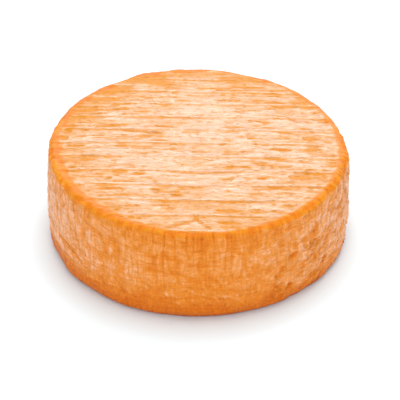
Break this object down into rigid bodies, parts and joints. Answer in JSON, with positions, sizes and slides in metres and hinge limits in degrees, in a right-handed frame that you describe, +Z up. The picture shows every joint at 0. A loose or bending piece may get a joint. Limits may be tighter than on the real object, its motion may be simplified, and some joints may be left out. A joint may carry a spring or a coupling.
{
  "type": "washed-rind soft cheese wheel",
  "caption": "Whole low round soft cheese with a moist orange washed rind, fine parallel mat marks on its top and a ribbed, creased side.",
  "frame": {"origin": "middle of the flat base", "axes": "+Z up, along the wheel's axis; +X along the mat marks of the top; -Y towards the pictured front"},
  "size_m": [0.1246, 0.1272, 0.0429],
  "materials": {
    "rind": "moist washed rind, orange on the side and paler peach on the top, semi-gloss"
  },
  "bodies": {
    "root": {"cheese_wheel": "rind"}
  },
  "joints": []
}
